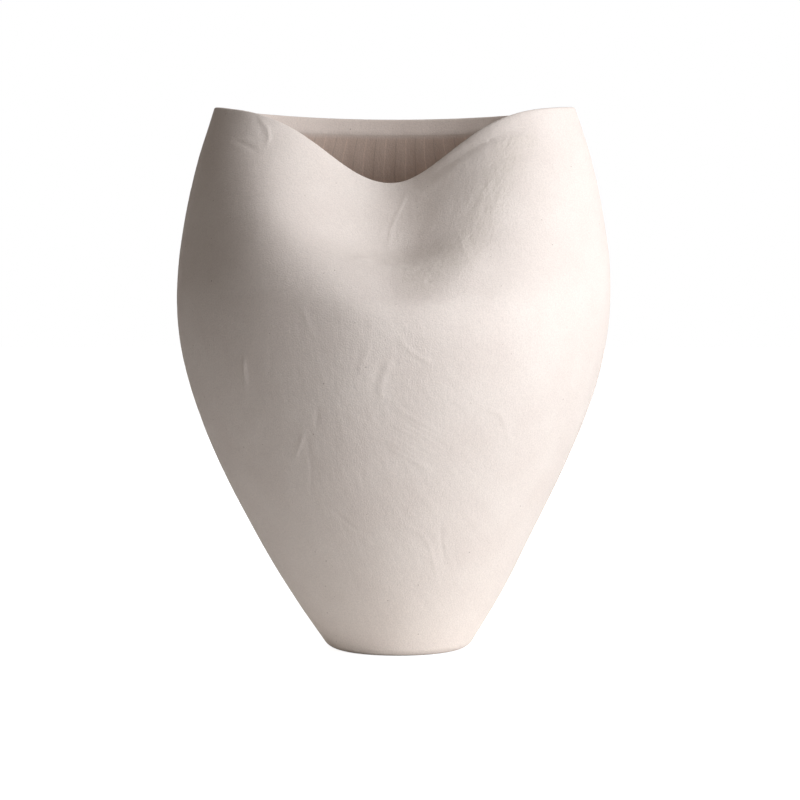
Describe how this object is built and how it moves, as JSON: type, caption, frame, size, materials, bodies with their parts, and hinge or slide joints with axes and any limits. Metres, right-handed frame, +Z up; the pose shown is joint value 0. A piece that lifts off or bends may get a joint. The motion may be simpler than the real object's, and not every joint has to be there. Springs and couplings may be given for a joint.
{
  "type": "pillow vase",
  "caption": "Tall hand-built stoneware vase, narrow at the foot, with a flattened mouth whose front is pressed in and dips.",
  "frame": {"origin": "centre of the flat foot, on the plane that the vase stands on", "axes": "+Z up, the pressed front looks along -Y, +X to the right of the front"},
  "size_m": [0.2404, 0.239, 0.3],
  "materials": {
    "bisque_stoneware": "unglazed, dry and matt, fine grain with sparse dark specks"
  },
  "bodies": {
    "root": {"foot_slab": "bisque_stoneware", "lower_course": "bisque_stoneware", "belly_course": "bisque_stoneware", "shoulder_course": "bisque_stoneware", "rim_coil": "bisque_stoneware"}
  },
  "joints": []
}
